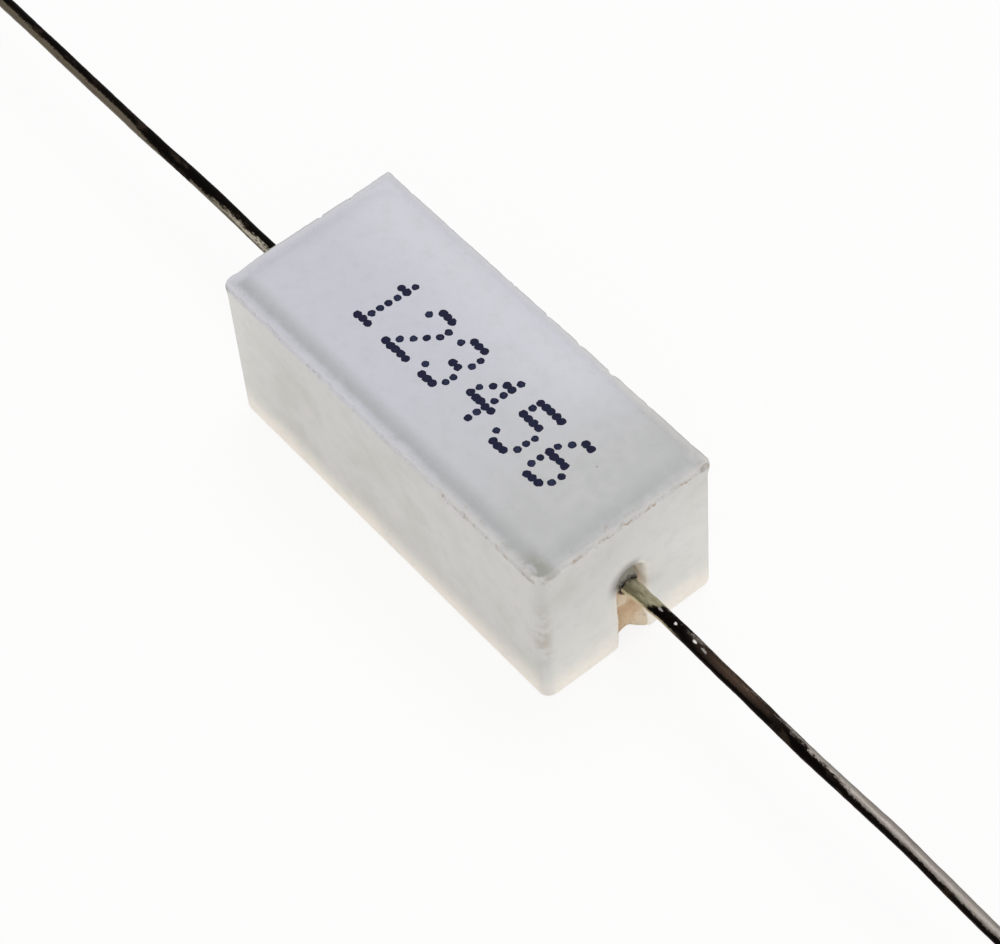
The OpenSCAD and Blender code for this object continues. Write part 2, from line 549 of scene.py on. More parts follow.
    def _rim_dirt(self, spot: CaseSpot) -> Signal:
        """Broken brown line where the rim meets the walls.

        Args:
            spot: Where it is asked for.

        Returns:
            Its strength from 0 to 1.
        """
        graph, place, x, y, z = spot.graph, spot.place, spot.x, spot.y, spot.z
        wander = graph.grain(place, 0.5, 2.0)
        line = (z + wander * 0.3).band(self.rim_z + 0.02, self.rim_z + 0.11, self.rim_z + 0.2)
        dashes = graph.grain(place, 1.2, 4.0, 0.7).step(0.51, 0.6)
        right = (x - y * 0.2).step(8.0, 10.9)
        front = (y + self.half_width).step(0.4, 0.2) * x.step(-2.0, 9.0) * 0.6
        dots = graph.grain(place, 0.3, 1.0).step(0.68, 0.74) * z.band(8.7, 8.9, 9.1)
        marks = abs(x - 9.95).step(0.3, 0.1) * y.step(-4.0, -4.5) * 0.7
        for middle, reach, strength in self.rim_marks:
            mark = abs(y - middle).step(reach, reach * 0.6) * x.step(9.8, 10.5)
            marks = marks.most(mark * strength)
        broken = graph.grain(place, 0.22, 3.0, 0.7).step(0.4, 0.6)
        worn = (spot.edge + (wander - 0.5) * 0.25).step(0.13, 0.04) * z.step(8.88, 8.95)
        worn = worn * marks * broken
        return (line * dashes * right.most(front)).most(dots).most(worn)

    def _soot_and_shade(self, spot: CaseSpot, arch: Signal) -> Signal:
        """Dark smudge with painted recess shade over the crown of the slot at the right end.

        Args:
            spot: Where it is asked for.
            arch: Distance from the outline of the slot, with a random pattern.

        Returns:
            Its strength from 0 to 1.
        """
        x, z = spot.x, spot.z
        side = (self.slot_y - spot.y + (z - self.arch_z) * 0.5).step(-0.25, 0.5)
        low = x.step(10.8, 10.97) * 0.3 + 3.8
        return arch.step(0.85, 0.1) * side * (z - low).step(0.0, 1.0) * x.step(9.5, 10.2) * 0.85


@dataclass(frozen=True)
class CementFinish:
    """Sandy potting cement, peach to tan."""

    body: Colour = paint(212, 188, 158)
    pale: Colour = paint(220, 206, 184)
    tan: Colour = paint(184, 148, 112)
    rust: Colour = paint(150, 98, 62)
    grit: Colour = paint(96, 84, 72)
    soot_and_shade: Colour = paint(30, 21, 15)
    shade: Colour = paint(164, 162, 152)
    lead_y: float = LEAD_Y
    lead_z: float = LEAD_Z

    def material(self) -> bpy.types.Material:
        """Makes the material.

        Returns:
            The material.
        """
        graph = Graph("potting_cement")
        place = graph.place()
        x, y, z = graph.axes(place)
        cloud = graph.grain(place, 1.4, 3.0, 0.6)
        sand = graph.grain(place, 0.16, 3.0, 0.7)
        colour = graph.blend(cloud.step(0.36, 0.62), self.body, self.pale)
        tan = graph.grain(place, 0.5, 5.0, 0.75) * 0.6 + sand * 0.4
        colour = graph.blend(tan.step(0.46, 0.66) * 0.75, colour, self.tan)
        colour = graph.blend((tan - sand * 0.3).step(0.48, 0.6) * 0.2, colour, self.rust)
        out = abs(x).step(10.0, 10.15)
        lower = out * (y - z * 0.3).step(0.0, 0.5) * z.step(3.2, 2.2)
        colour = graph.blend(lower * 0.7, colour, self.pale)
        # Painted highlight: a pale band over the knob of cement; painted shadow: a tan band under
        # it.
        level = z + (sand - 0.5) * 0.3
        colour = graph.blend(level.band(2.3, 2.8, 3.4) * out * 0.5, colour, self.pale)
        colour = graph.blend(level.band(1.0, 2.0, 2.4) * out * 0.6, colour, self.tan)
        grit = graph.grain(place, 0.1, 1.0).step(0.7, 0.76)
        colour = graph.blend(grit * 0.7, colour, self.grit)
        away = edge_meeting(y - self.lead_y, z - self.lead_z)
        # Painted shade in the recess over the lead, then soot with a painted shadow gap round the
        # top of the lead's root.
        crown = (z + sand * 0.3).step(4.1, 4.7) * (y + cloud * 0.6).step(1.7, 0.9) * out
        colour = graph.blend(crown * 0.95, colour, self.shade)
        above = (z - self.lead_z - (y - self.lead_y) * 0.5 + sand * 0.5).step(-0.2, 0.4)
        ring = (away + sand * 0.3).step(0.82, 0.62) * above * out
        colour = graph.blend(ring, colour, self.soot_and_shade)
        height = sand * 0.7 + cloud * 0.3 + grit * 0.4
        return graph.dress(
            Base_Color=colour,
            Roughness=0.78 + (sand - 0.5) * 0.3,
            Normal=graph.bump(height, 0.05),
            Specular_IOR_Level=0.25,
        )


@dataclass(frozen=True)
class LeadFinish:
    """Old tinned wire, dark on one side, with cement wash at its root.

    The dark side and the bright side with its sheen and glints are painted reflection,
    broken by tarnish streaks and patches.

    The mesh carries "side", 1 on the dark side and -1 on the bright one, and
    "outward", the distance past the end of the case in millimetres.
    """

    name: str
    mid: Colour
    edge: Colour
    shift: float
    edge_from: float
    bright: Colour = paint(178, 172, 158)
    dark: Colour = paint(20, 15, 12)
    black: Colour = paint(8, 6, 5)
    brown: Colour = paint(74, 60, 50)
    wash: Colour = paint(116, 110, 84)
    wash_pale: Colour = paint(176, 170, 144)
    sheen: Colour = paint(150, 144, 138)
    cream_wash_and_reflection: Colour = paint(222, 206, 172)
    glint: Colour = paint(226, 222, 218)
    bright_rate: float = 0.0
    bright_from: float = 7.0
    cream_reflection_rate: float = 0.0
    dull_from: float = 60.0
    wash_end: float = 1.25
    dark_run: tuple[float, float, float] = (60.0, 61.0, 62.0)
    worn_run: tuple[float, float, float] = (60.0, 61.0, 62.0)
    glints: tuple[tuple[float, float, float], ...] = ()

    def material(self) -> bpy.types.Material:
        """Makes the material.

        Returns:
            The material.
        """
        graph = Graph(self.name)
        place = graph.place()
        drawn = graph.stretch(place, 0.1, 1.0, 1.0)
        side = graph.attribute("side")
        outward = graph.attribute("outward")
        streak = graph.grain(drawn, 0.16, 3.0, 0.7)
        patch = graph.grain(graph.stretch(place, 0.35, 1.0, 1.0), 0.5, 4.0, 0.65)
        fine = graph.grain(graph.stretch(place, 0.4, 1.0, 1.0), 0.07, 3.0, 0.7)

        # Painted reflection: side makes the wire dark one way and bright the other, broken by
        # tarnish.
        far = outward.step(self.bright_from, self.bright_from + 8.0)
        lighter = far * self.bright_rate - outward.band(*self.dark_run) * 0.9
        rough = (streak - 0.5) * 1.3 + (patch - 0.5) * 1.3 + (fine - 0.5) * 1.4
        tarnish_and_reflection = side + rough * (1.0 - far * 0.55) + self.shift - lighter
        shine = (tarnish_and_reflection + 0.25).band(-0.5, -0.1, 0.25) * outward.step(self.dull_from, 5.0)
        colour = graph.blend(shine, self.mid, self.bright)
        pale = side.step(-0.7, -0.95) * outward.step(4.0, 9.0)
        colour = graph.blend(pale * 0.6, colour, self.sheen)
        colour = graph.blend(tarnish_and_reflection.step(-0.1, 0.15), colour, self.dark)
        colour = graph.blend(tarnish_and_reflection.step(0.1, 0.45), colour, self.black)
        rim = side.step(self.edge_from, self.edge_from + 0.25)
        colour = graph.blend(rim * 0.7, colour, self.edge)
        worn = outward.band(*self.worn_run) * (side + rough * 0.4).step(0.1, -0.4)
        colour = graph.blend(worn * 0.7, colour, self.brown)
        colour = graph.blend(patch.step(0.56, 0.68) * 0.3, colour, self.brown)
        colour = graph.blend(fine.step(0.62, 0.72) * 0.55, colour, self.black)
        for spot, length, strength in self.glints:
            reach = edge_meeting((outward - spot) * (1 / length), (side + 0.57) * 6.5)
            glint = (reach + (fine - 0.5) * 2.5).step(1.1, 0.7)
            colour = graph.blend(glint * strength, colour, self.glint)

        edge = outward + (patch - 0.5) * 1.6 + (fine - 0.5) * 0.6 + side * 0.45
        wash = edge.step(self.wash_end + 0.12, self.wash_end - 0.12)
        clay = graph.blend((patch - side * 0.15).step(0.42, 0.66), self.wash, self.wash_pale)
        # Cream along one edge of the wash: cement with painted reflection of the floor.
        clay = graph.blend((side + streak * 0.4).step(1.0, 1.25) * 0.9, clay, self.cream_wash_and_reflection)
        # Soot and painted recess shade on the root inside the slot.
        soot_and_recess_shade = (outward + streak * 0.3).step(-0.15, -0.35)
        clay = graph.blend(soot_and_recess_shade * 0.85, clay, self.dark)
        colour = graph.blend(wash, colour, clay)
        # Painted cream reflection of the floor along one flank near the case.
        cream_reflection = (side + (fine - 0.5) * 0.6).step(0.36, 0.56) * outward.step(3.6, 1.5)
        colour = graph.blend(cream_reflection * self.cream_reflection_rate, colour, self.cream_wash_and_reflection)
        metal = (0.85 - tarnish_and_reflection.step(-0.1, 0.4) * 0.25).least(1.0 - wash)
        height = streak * 0.5 + fine * 0.4 + patch * 0.35
        return graph.dress(
            Base_Color=colour,
            Metallic=metal,
            Roughness=0.42 + (patch - 0.5) * 0.5 + wash * 0.35,
            Normal=graph.bump(height, 0.02),
            Specular_IOR_Level=0.06,
            Specular_Tint=(0.45, 0.42, 0.4, 1.0),
        )


@dataclass(frozen=True)
class InkFinish:
    """Navy printing ink in dots, thin in the middle of a dot and thick at its rim.

    The mesh carries "load", how much ink a dot got, and "rim", 0 in the middle of a
    dot and 1 at its edge.
    """

    thick: Colour = paint(4, 8, 44)
    thin: Colour = paint(30, 37, 66)
    edge: Colour = paint(16, 20, 46)

    def material(self) -> bpy.types.Material:
        """Makes the material.

        Returns:
            The material.
        """
        graph = Graph("marking_ink")
        place = graph.place()
        load = graph.attribute("load")
        rim = graph.attribute("rim")
        cloud = graph.grain(place, 0.12, 3.0, 0.6)
        cover = load + (cloud - 0.5) * 1.4 + rim.step(0.35, 0.8) * 0.4
        colour = graph.blend(cover.step(0.25, 0.75), self.thin, self.thick)
        colour = graph.blend(rim.step(0.85, 1.0) * 0.5, colour, self.edge)
        return graph.dress(
            Base_Color=colour,
            Roughness=0.5 + (cloud - 0.5) * 0.3,
            Normal=graph.bump(cloud, 0.006),
            Specular_IOR_Level=0.15,
        )


@dataclass(frozen=True)
class RodFinish:
    """Cream ceramic of the wound rod."""

    body: Colour = paint(232, 226, 212)
    shade: Colour = paint(212, 202, 184)
    speck: Colour = paint(120, 108, 92)

    def material(self) -> bpy.types.Material:
        """Makes the material.

        Returns:
            The material.
        """
        graph = Graph("rod_ceramic")
        place = graph.place()
        cloud = graph.grain(place, 1.1, 3.0)
        fine = graph.grain(place, 0.1, 3.0, 0.6)
        colour = graph.blend(cloud.step(0.38, 0.64), self.body, self.shade)
        colour = graph.blend(graph.specks(place, 0.7, 0.04, 0.4), colour, self.speck)
        return graph.dress(
            Base_Color=colour,
            Roughness=0.58 + (cloud - 0.5) * 0.3,
            Normal=graph.bump(fine, 0.012),
        )


@dataclass(frozen=True)
class WindingFinish:
    """Drawn resistance wire with the colours of heat."""

    metal: Colour = paint(168, 160, 146)
    oxide: Colour = paint(118, 96, 74)
    blue: Colour = paint(104, 108, 128)

    def material(self) -> bpy.types.Material:
        """Makes the material.

        Returns:
            The material.
        """
        graph = Graph("resistance_wire")
        place = graph.place()
        cloud = graph.grain(place, 0.8, 3.0)
        lines = graph.grain(graph.stretch(place, 1.0, 0.25, 0.25), 0.05, 2.0, 0.7)
        colour = graph.blend(cloud.step(0.4, 0.62), self.metal, self.oxide)
        colour = graph.blend(cloud.step(0.6, 0.7) * 0.6, colour, self.blue)
        return graph.dress(
            Base_Color=colour,
            Metallic=0.95 - cloud * 0.1,
            Roughness=0.3 + lines * 0.25,
            Normal=graph.bump(lines, 0.006),
        )


@dataclass(frozen=True)
class CapFinish:
    """Tinned pressed steel of the end caps."""

    tin: Colour = paint(186, 187, 190)
    dull: Colour = paint(142, 143, 146)
    rust: Colour = paint(128, 92, 66)

    def material(self) -> bpy.types.Material:
        """Makes the material.

        Returns:
            The material.
        """
        graph = Graph("tinned_steel")
        place = graph.place()
        cloud = graph.grain(place, 1.3, 4.0, 0.6)
        drawn = graph.grain(graph.stretch(place, 0.12, 1.0, 1.0), 0.12, 3.0, 0.7)
        colour = graph.blend(cloud.step(0.35, 0.65), self.tin, self.dull)
        colour = graph.blend(graph.specks(place, 0.8, 0.08, 0.3) * 0.6, colour, self.rust)
        return graph.dress(
            Base_Color=colour,
            Metallic=0.9 + cloud * 0.1,
            Roughness=0.26 + drawn * 0.3,
            Normal=graph.bump(drawn, 0.01),
        )


@dataclass(frozen=True)
class FloorFinish:
    """White sheet under the object, white to the camera, with most of the shadow kept."""

    sheet: Colour = paint(247, 246, 244)
    fibre: Colour = paint(238, 237, 234)
    glow: float = 0.85

    def material(self) -> bpy.types.Material:
        """Makes the material.

        Returns:
            The material.
        """
        graph = Graph("white_sheet")
        place = graph.place()
        fibres = graph.grain(place, 1.5, 3.0)
        tone = graph.blend(fibres * 0.12, self.sheet, self.fibre)
        graph.dress(Base_Color=tone, Roughness=0.9, Specular_IOR_Level=0.1)
        path = graph.add("ShaderNodeLightPath", {}, {}, "Is Camera Ray")
        seen = path.most(path.beside("Is Glossy Ray")).most(path.beside("Is Transmission Ray"))
        white = graph.add("ShaderNodeEmission", {}, {"Color": (1.0, 1.0, 1.0, 1.0)})
        base = Signal(graph, graph.shader.outputs["BSDF"])
        mixed = graph.add("ShaderNodeMixShader", {}, {0: seen * self.glow, 1: base, 2: white})
        surface = graph.tree.nodes["Material Output"].inputs["Surface"]
        graph.tree.links.new(mixed.socket, surface)
        return graph.material


def loose_object(name: str, mesh: bmesh.types.BMesh) -> bpy.types.Object:
    """Makes an object of a mesh and frees the mesh.

    Args:
        name: Name of the object.
        mesh: The mesh.

    Returns:
        The object, in the scene.
    """
    data = bpy.data.meshes.new(name)
    mesh.to_mesh(data)
    mesh.free()
    made = bpy.data.objects.new(name, data)
    bpy.context.scene.collection.objects.link(made)
    return made


def settle(made: bpy.types.Object) -> None:
    """Applies an object's modifiers to its mesh for good.

    Args:
        made: The object.
    """
    shown = made.evaluated_get(bpy.context.evaluated_depsgraph_get())
    data = bpy.data.meshes.new_from_object(shown)
    made.modifiers.clear()
    made.data = data


def carve(body: bpy.types.Object, cutter: bpy.types.Object) -> None:
    """Cuts one solid out of another, and removes the cutter.

    Args:
        body: The solid that is cut.
        cutter: The solid that is taken out of it.
    """
    cut = body.modifiers.new("cut", "BOOLEAN")
    cut.operation = "DIFFERENCE"
    cut.solver = "EXACT"
    cut.object = cutter
    settle(body)
    bpy.data.objects.remove(cutter)


def take_back(made: bpy.types.Object) -> bmesh.types.BMesh:
    """Turns an object into a mesh to work on, and removes the object.

    Args:
        made: The object.

    Returns:
        Its mesh.
    """
    mesh = bmesh.new()
    mesh.from_mesh(made.data)
    bpy.data.objects.remove(made)
    return mesh


def set_creases(mesh: bmesh.types.BMesh, degrees: float) -> None:
    """Shades a mesh smooth, apart from edges that turn by more than an angle.

    Args:
        mesh: The mesh.
        degrees: The angle.
    """
    limit = math.radians(degrees)
    for face in mesh.faces:
        face.smooth = True
    for edge in mesh.edges:
        edge.smooth = edge.calc_face_angle(0.0) < limit


def bisect(
    mesh: bmesh.types.BMesh, point: tuple[float, float, float], way: tuple[float, float, float]
) -> None:
    """Adds a line to a mesh where a plane crosses it.

    Args:
        mesh: The mesh.
        point: A point of the plane.
        way: Its normal.
    """
    everything = mesh.verts[:] + mesh.edges[:] + mesh.faces[:]
    bmesh.ops.bisect_plane(mesh, geom=everything, dist=1e-5, plane_co=point, plane_no=way)


def add_piece(
    name: str,
    mesh: bmesh.types.BMesh,
    finish: bpy.types.Material,
    slot: Slot,
    *stands_for: str,
) -> bpy.types.Object:
    """Makes a finished mesh a piece of the resistor.

    Args:
        name: Name of the piece.
        mesh: Its mesh in millimetres, which is freed.
        finish: Its material.
        slot: The record's slot for that material; it is not used.
        stands_for: CAD nodes that it stands for.

    Returns:
        The piece.
    """
    mesh.transform(Matrix.Scale(METRES, 4))
    piece = loose_object(name, mesh)
    piece.data.materials.clear()
    piece.data.materials.append(finish)
    if stands_for:
        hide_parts(*stands_for)
    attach(piece, BODY)
    LOG.info("%s: %d faces", name, len(piece.data.polygons))
    return piece


@dataclass
class CeramicCase:
    """Pressed case, open below, with a raised panel, a ragged rim and two lead slots."""

    length: float = CASE_LENGTH
    width: float = CASE_WIDTH
    height: float = CASE_HEIGHT
    side_wall: float = 1.2
    end_wall: float = 1.2
    roof_z: float = 7.7
    base_r: float = 0.5
    cavity_r: float = 0.8
    land_z: float = 9.03
    land_w: float = 0.4
    rim_r: float = 0.12
    far_rim_cut: float = 0.08
    flash_low: float = 8.3
    flash_top: float = 9.0
    lip_h: float = 0.055
    far_lip_h: float = 0.08
    ear_h: float = 0.17
    panel_rise: float = 0.155
    panel_roll: float = 0.95
    panel_corner: float = 1.2
    slot_y: float = LEAD_Y
    slot_w: float = 1.75
    slot_crown: float = 5.75
    slot_flare: float = 0.7
    slot_mouth: float = 0.17
    mouth_depth: float = 0.34
    draft: float = 0.01
    chips: int = 70
    long_side_share: float = 0.62
    line_step_x: float = 0.155
    line_step_y: float = 0.15
    wall_lines: int = 22
    crease: float = 38.0
    seed: int = 5
    flash_radii: dict[tuple[bool, bool], float] = field(
        default_factory=lambda: {
            (True, True): 0.2, (True, False): 0.5, (False, True): 0.15, (False, False): 0.5,
        }
    )
    upright_radii: dict[tuple[bool, bool], float] = field(
        default_factory=lambda: {
            (True, True): 0.4, (True, False): 0.6, (False, True): 0.4, (False, False): 0.6,
        }
    )
    line_insets: tuple[float, ...] = (
        0.0, 0.03, 0.06, 0.09, 0.12, 0.18, 0.25, 0.32, 0.4, 0.48, 0.56,
        0.64, 0.74, 0.84, 0.94, 1.04, 1.16, 1.28, 1.42,
    )
    foot_levels: tuple[float, ...] = (0.05, 0.1, 0.17, 0.25, 0.34, 0.42, 0.5)
    top_levels: tuple[float, ...] = (
        8.2, 8.4, 8.55, 8.68, 8.78, 8.86, 8.93, 8.98, 9.03, 9.07, 9.11, 9.14, 9.17,
    )
    finish: CeramicFinish = field(default_factory=CeramicFinish)

    def build(self) -> bpy.types.Object:
        """Builds the case.

        Returns:
            Its piece.
        """
        body = loose_object("case_body", self._pressed_block())
        carve(body, loose_object("cavity_cut", self._cavity()))
        carve(body, loose_object("slot_cut", self._slots()))
        mesh = take_back(body)
        set_creases(mesh, self.crease)
        material = self.finish.material()
        return add_piece("case", mesh, material, Slot.CASE, "ceramic_case")

    def _lines(self, half: float, step: float) -> list[float]:
        """Places of the mesh lines across one direction, denser near the edges.

        Args:
            half: Half the size in that direction.
            step: Distance between lines away from the edges.

        Returns:
            The places, from the lowest up.
        """
        edge = [half - inset for inset in self.line_insets]
        count = round(2 * edge[-1] / step)
        middle = [edge[-1] * (1 - 2 * k / count) for k in range(1, count)]
        return sorted([*edge, *middle, *(-place for place in edge)])

    def _pressed_block(self) -> bmesh.types.BMesh:
        """The outside of the case as a solid block.

        Returns:
            Its mesh.
        """
        mesh = bmesh.new()
        bmesh.ops.create_cube(mesh, size=1.0)
        upright = [k * self.height / 2 for k in (-1, 1)]
        upright[1:1] = [z - self.height / 2 for z in self._levels()]
        sides = (
            self._lines(self.length / 2, self.line_step_x),
            self._lines(self.width / 2, self.line_step_y),
            upright,
        )
        for axis, lines in enumerate(sides):
            self._divide(mesh, axis, lines)
        random_chips = self._chips()
        for vert in mesh.verts:
            vert.co.z += self.height / 2
            vert.co = self._press(vert.co.copy(), random_chips)
        bmesh.ops.recalc_face_normals(mesh, faces=mesh.faces)
        return mesh

    def _levels(self) -> list[float]:
        """Heights of the mesh lines up the walls.

        Returns:
            The heights, without the two ends.
        """
        low = self.foot_levels[-1]
        high = self.top_levels[0]
        count = self.wall_lines
        wall = [low + k * (high - low) / count for k in range(1, count)]
        return [*self.foot_levels, *wall, *self.top_levels]

    @staticmethod
    def _divide(mesh: bmesh.types.BMesh, axis: int, lines: list[float]) -> None:
        """Cuts a unit box across one axis, and moves the cuts to their places.

        Args:
            mesh: The box, from -0.5 to 0.5 along that axis.
            axis: The axis.
            lines: Places of the two ends and of all cuts.
        """
        along = [e for e in mesh.edges if abs(e.verts[0].co[axis] - e.verts[1].co[axis]) > 0.5]
        bmesh.ops.subdivide_edges(mesh, edges=along, cuts=len(lines) - 2, use_grid_fill=True)
        for vert in mesh.verts:
            vert.co[axis] = lines[round((vert.co[axis] + 0.5) * (len(lines) - 1))]

    def _chips(self) -> list[tuple[Vector, float, float]]:
        """Chips along the upper edge.

        Returns:
            Place, radius and depth of each.
        """
        pick = random.Random(self.seed)
        made = []
        for _ in range(self.chips):
            if pick.random() < self.long_side_share:
                x = pick.uniform(-1, 1) * self.length / 2
                y = pick.choice((-1, -1, 1)) * self.width / 2
            else:
                x = pick.choice((-1, 1)) * self.length / 2
                y = pick.uniform(-1, 1) * self.width / 2
            depth = pick.uniform(0.03, 0.1)
            made.append((Vector((x, y, self.land_z)), pick.uniform(0.1, 0.28), depth))
        return made

    def _corner_radius(self, x: float, y: float, z: float) -> float:
        """Radius of the upright edge near a point, which is sharper at the flash on top.

        Args:
            x: Place along the leads.
            y: Place across the case.
            z: Height.

        Returns:
            The radius.
        """
        corner = (x > 0, y > 0)
        low = self.upright_radii[corner]
        return low + (self.flash_radii[corner] - low) * ease(z, self.flash_low, self.flash_top)

    def _plan(self, x: float, y: float, r: float) -> tuple[Vector, Vector, float]:
        """Rounds the upright edges of the block.

        Args:
            x: Place along the leads on the square block.
            y: Place across it.
            r: Radius of the upright edge.

        Returns:
            The place in plan, the way out of the block there, and the depth inside it.
        """
        mid_x = self.length / 2 - r
        mid_y = self.width / 2 - r
        u = (abs(x) - mid_x) / r
        v = (abs(y) - mid_y) / r
        sign = Vector((math.copysign(1, x), math.copysign(1, y)))
        if u <= 0 or v <= 0:
            out = Vector((sign.x, 0)) if u * r > v * r else Vector((0, sign.y))
            return Vector((x, y)), out, r * (1 - max(u, v))
        reach = max(u, v)
        way = Vector((u, v)).normalized()
        spot = Vector((mid_x + r * reach * way.x, mid_y + r * reach * way.y))
        return spot * sign, way * sign, r * (1 - reach)

    @staticmethod
    def _rounded(depth: float, drop: float, radius: float) -> tuple[float, float]:
        """Makes a square edge round.

        Args:
            depth: Distance of a point behind one face.
            drop: Its distance behind the other face.
            radius: Radius of the edge.

        Returns:
            The two distances on the round edge.
        """
        a = 1 - depth / radius
        b = 1 - drop / radius
        if a <= 0 or b <= 0:
            return depth, drop
        pull = max(a, b) / math.hypot(a, b)
        return radius * (1 - a * pull), radius * (1 - b * pull)

    def _press(self, raw: Vector, chips: list[tuple[Vector, float, float]]) -> Vector:
        """Moves a point of the square block to its place on the pressed case.

        Args:
            raw: The point on the square block.
            chips: The chips along the upper edge.

        Returns:
            Its place.
        """
        spot, out, depth = self._plan(raw.x, raw.y, self._corner_radius(*raw))
        on_top = raw.z > self.height - 1e-5
        z = raw.z * self.land_z / self.height
        far = self._far(spot)
        rim_r = self.rim_r - self.far_rim_cut * far
        new_depth, drop = self._rounded(depth, self.land_z - z, rim_r)
        z = self.land_z - drop
        new_depth, z = self._rounded(new_depth, z, self.base_r)
        flat = spot.to_3d()
        lean = self.draft * ease(z, 8.97, 8.7) * (1 - ease(depth, 0.0, 0.5))
        ragged = 0.05 * max(0.0, waves(flat, 0.45, 3.0)) + 0.04 * max(0.0, waves(flat, 0.15, 8.0))
        ragged *= ease(z, 8.75, 8.95) * (1 - 0.5 * far)
        slack = 0.006 * (1 + waves(Vector((*spot, raw.z)), 1.6)) * (1 - ease(depth, 0.0, 0.4))
        spot -= out * (new_depth - depth + lean + ragged * (1 - ease(depth, 0, 0.4)) + slack)
        if on_top:
            z += self.relief(spot.x, spot.y) + self._lip(flat, depth)
        place = Vector((spot.x, spot.y, z))
        for centre, radius, cut in chips:
            gap = (place - centre).length
            if gap < radius:
                share = cut * (1 - (gap / radius) ** 2)
                place -= Vector((out.x * share, out.y * share, share * 0.8))
        place.z = min(self.height, max(0.0, place.z))
        place.z += 0.01 * (1 + waves(place, 0.9, 5.0)) * ease(raw.z, 0.4, 0.0)
        return place

    def relief(self, x: float, y: float) -> float:
        """Height of the panel over the land.

        Args:
            x: Place along the leads.
            y: Place across the case.

        Returns:
            The height, with slow waves and without the lip of the rim.
        """
        u = abs(x) - (self.length / 2 - self.land_w - self.panel_corner)
        v = abs(y) - (self.width / 2 - self.land_w - self.panel_corner)
        inside = self.panel_corner - (math.hypot(max(u, 0), max(v, 0)) + min(max(u, v), 0))
        rise = self.panel_rise
        radius = (self.panel_roll**2 + rise**2) / (2 * rise)
        if inside >= self.panel_roll:
            height = rise
        else:
            down = radius - math.sqrt(radius**2 - (self.panel_roll - max(inside, 0.0)) ** 2)
            height = max(0.0, rise - down)
        swell = 0.007 * waves(Vector((x, y, 0)), 2.4, 7.0)
        return height + swell * ease(inside, 0.0, 0.6)

    def _far(self, spot: Vector) -> float:
        """Nearness to the two edges of the top whose flash is sharp and high.

        Args:
            spot: Place in plan.

        Returns:
            A number from 0 to 1.
        """
        back = ease(spot.y, self.width / 2 - 0.9, self.width / 2 - 0.4)
        left = ease(-spot.x, self.length / 2 - 0.9, self.length / 2 - 0.4)
        return max(back, left * ease(spot.y, -4.3, -2.5))

    def _lip(self, spot: Vector, depth: float) -> float:
        """Height of the ragged lip that the press leaves round the land.

        Args:
            spot: Place in plan.
            depth: Depth inside the outline.

        Returns:
            The height.
        """
        far = self._far(spot)
        crest = ease(depth, 0.0, 0.1 - 0.08 * far) * ease(depth, 0.42, 0.16)
        ragged = self.lip_h + self.far_lip_h * far
        ragged = ragged + 0.04 * waves(spot, 0.55, 9.0) + 0.03 * waves(spot, 0.2, 4.0)
        corner = ease(abs(spot.x), self.length / 2 - 1.3, self.length / 2 - 0.3)
        corner *= ease(abs(spot.y), self.width / 2 - 1.3, self.width / 2 - 0.3)
        trough = ease(depth, 0.3, 0.45) * ease(depth, 0.8, 0.5)
        height = crest * (ragged + 0.05 * corner) - 0.02 * trough
        if spot.y > 0:
            ear = self.ear_h * corner * ease(depth, 0.0, 0.06) * ease(depth, 0.5, 0.15)
            height = max(height, ear)
        return height

    def _cavity(self) -> bmesh.types.BMesh:
        """Solid that is as large as the space inside the case.

        Returns:
            Its mesh.
        """
        mesh = bmesh.new()
        room = Vector((self.length - 2 * self.end_wall, self.width - 2 * self.side_wall))
        below = 1.0
        size = Vector((room.x, room.y, self.roof_z + below))
        middle = Matrix.Translation((0, 0, self.roof_z - size.z / 2))
        bmesh.ops.create_cube(mesh, size=1.0, matrix=middle @ Matrix.Diagonal((*size, 1)))
        upright = [e for e in mesh.edges if abs(e.verts[0].co.z - e.verts[1].co.z) > 1]
        bmesh.ops.bevel(
            mesh, geom=upright, offset=self.cavity_r, offset_type="OFFSET",
            segments=8, profile=0.5, affect="EDGES", material=-1,
        )
        for level in (0.0, 0.06, 0.12):
            bisect(mesh, (0, 0, level), (0, 0, 1))
        for vert in mesh.verts:
            flare = 0.1 * ease(vert.co.z, 0.12, 0.0)
            vert.co.x += math.copysign(flare, vert.co.x)
            vert.co.y += math.copysign(flare, vert.co.y)
        bmesh.ops.recalc_face_normals(mesh, faces=mesh.faces)
        return mesh

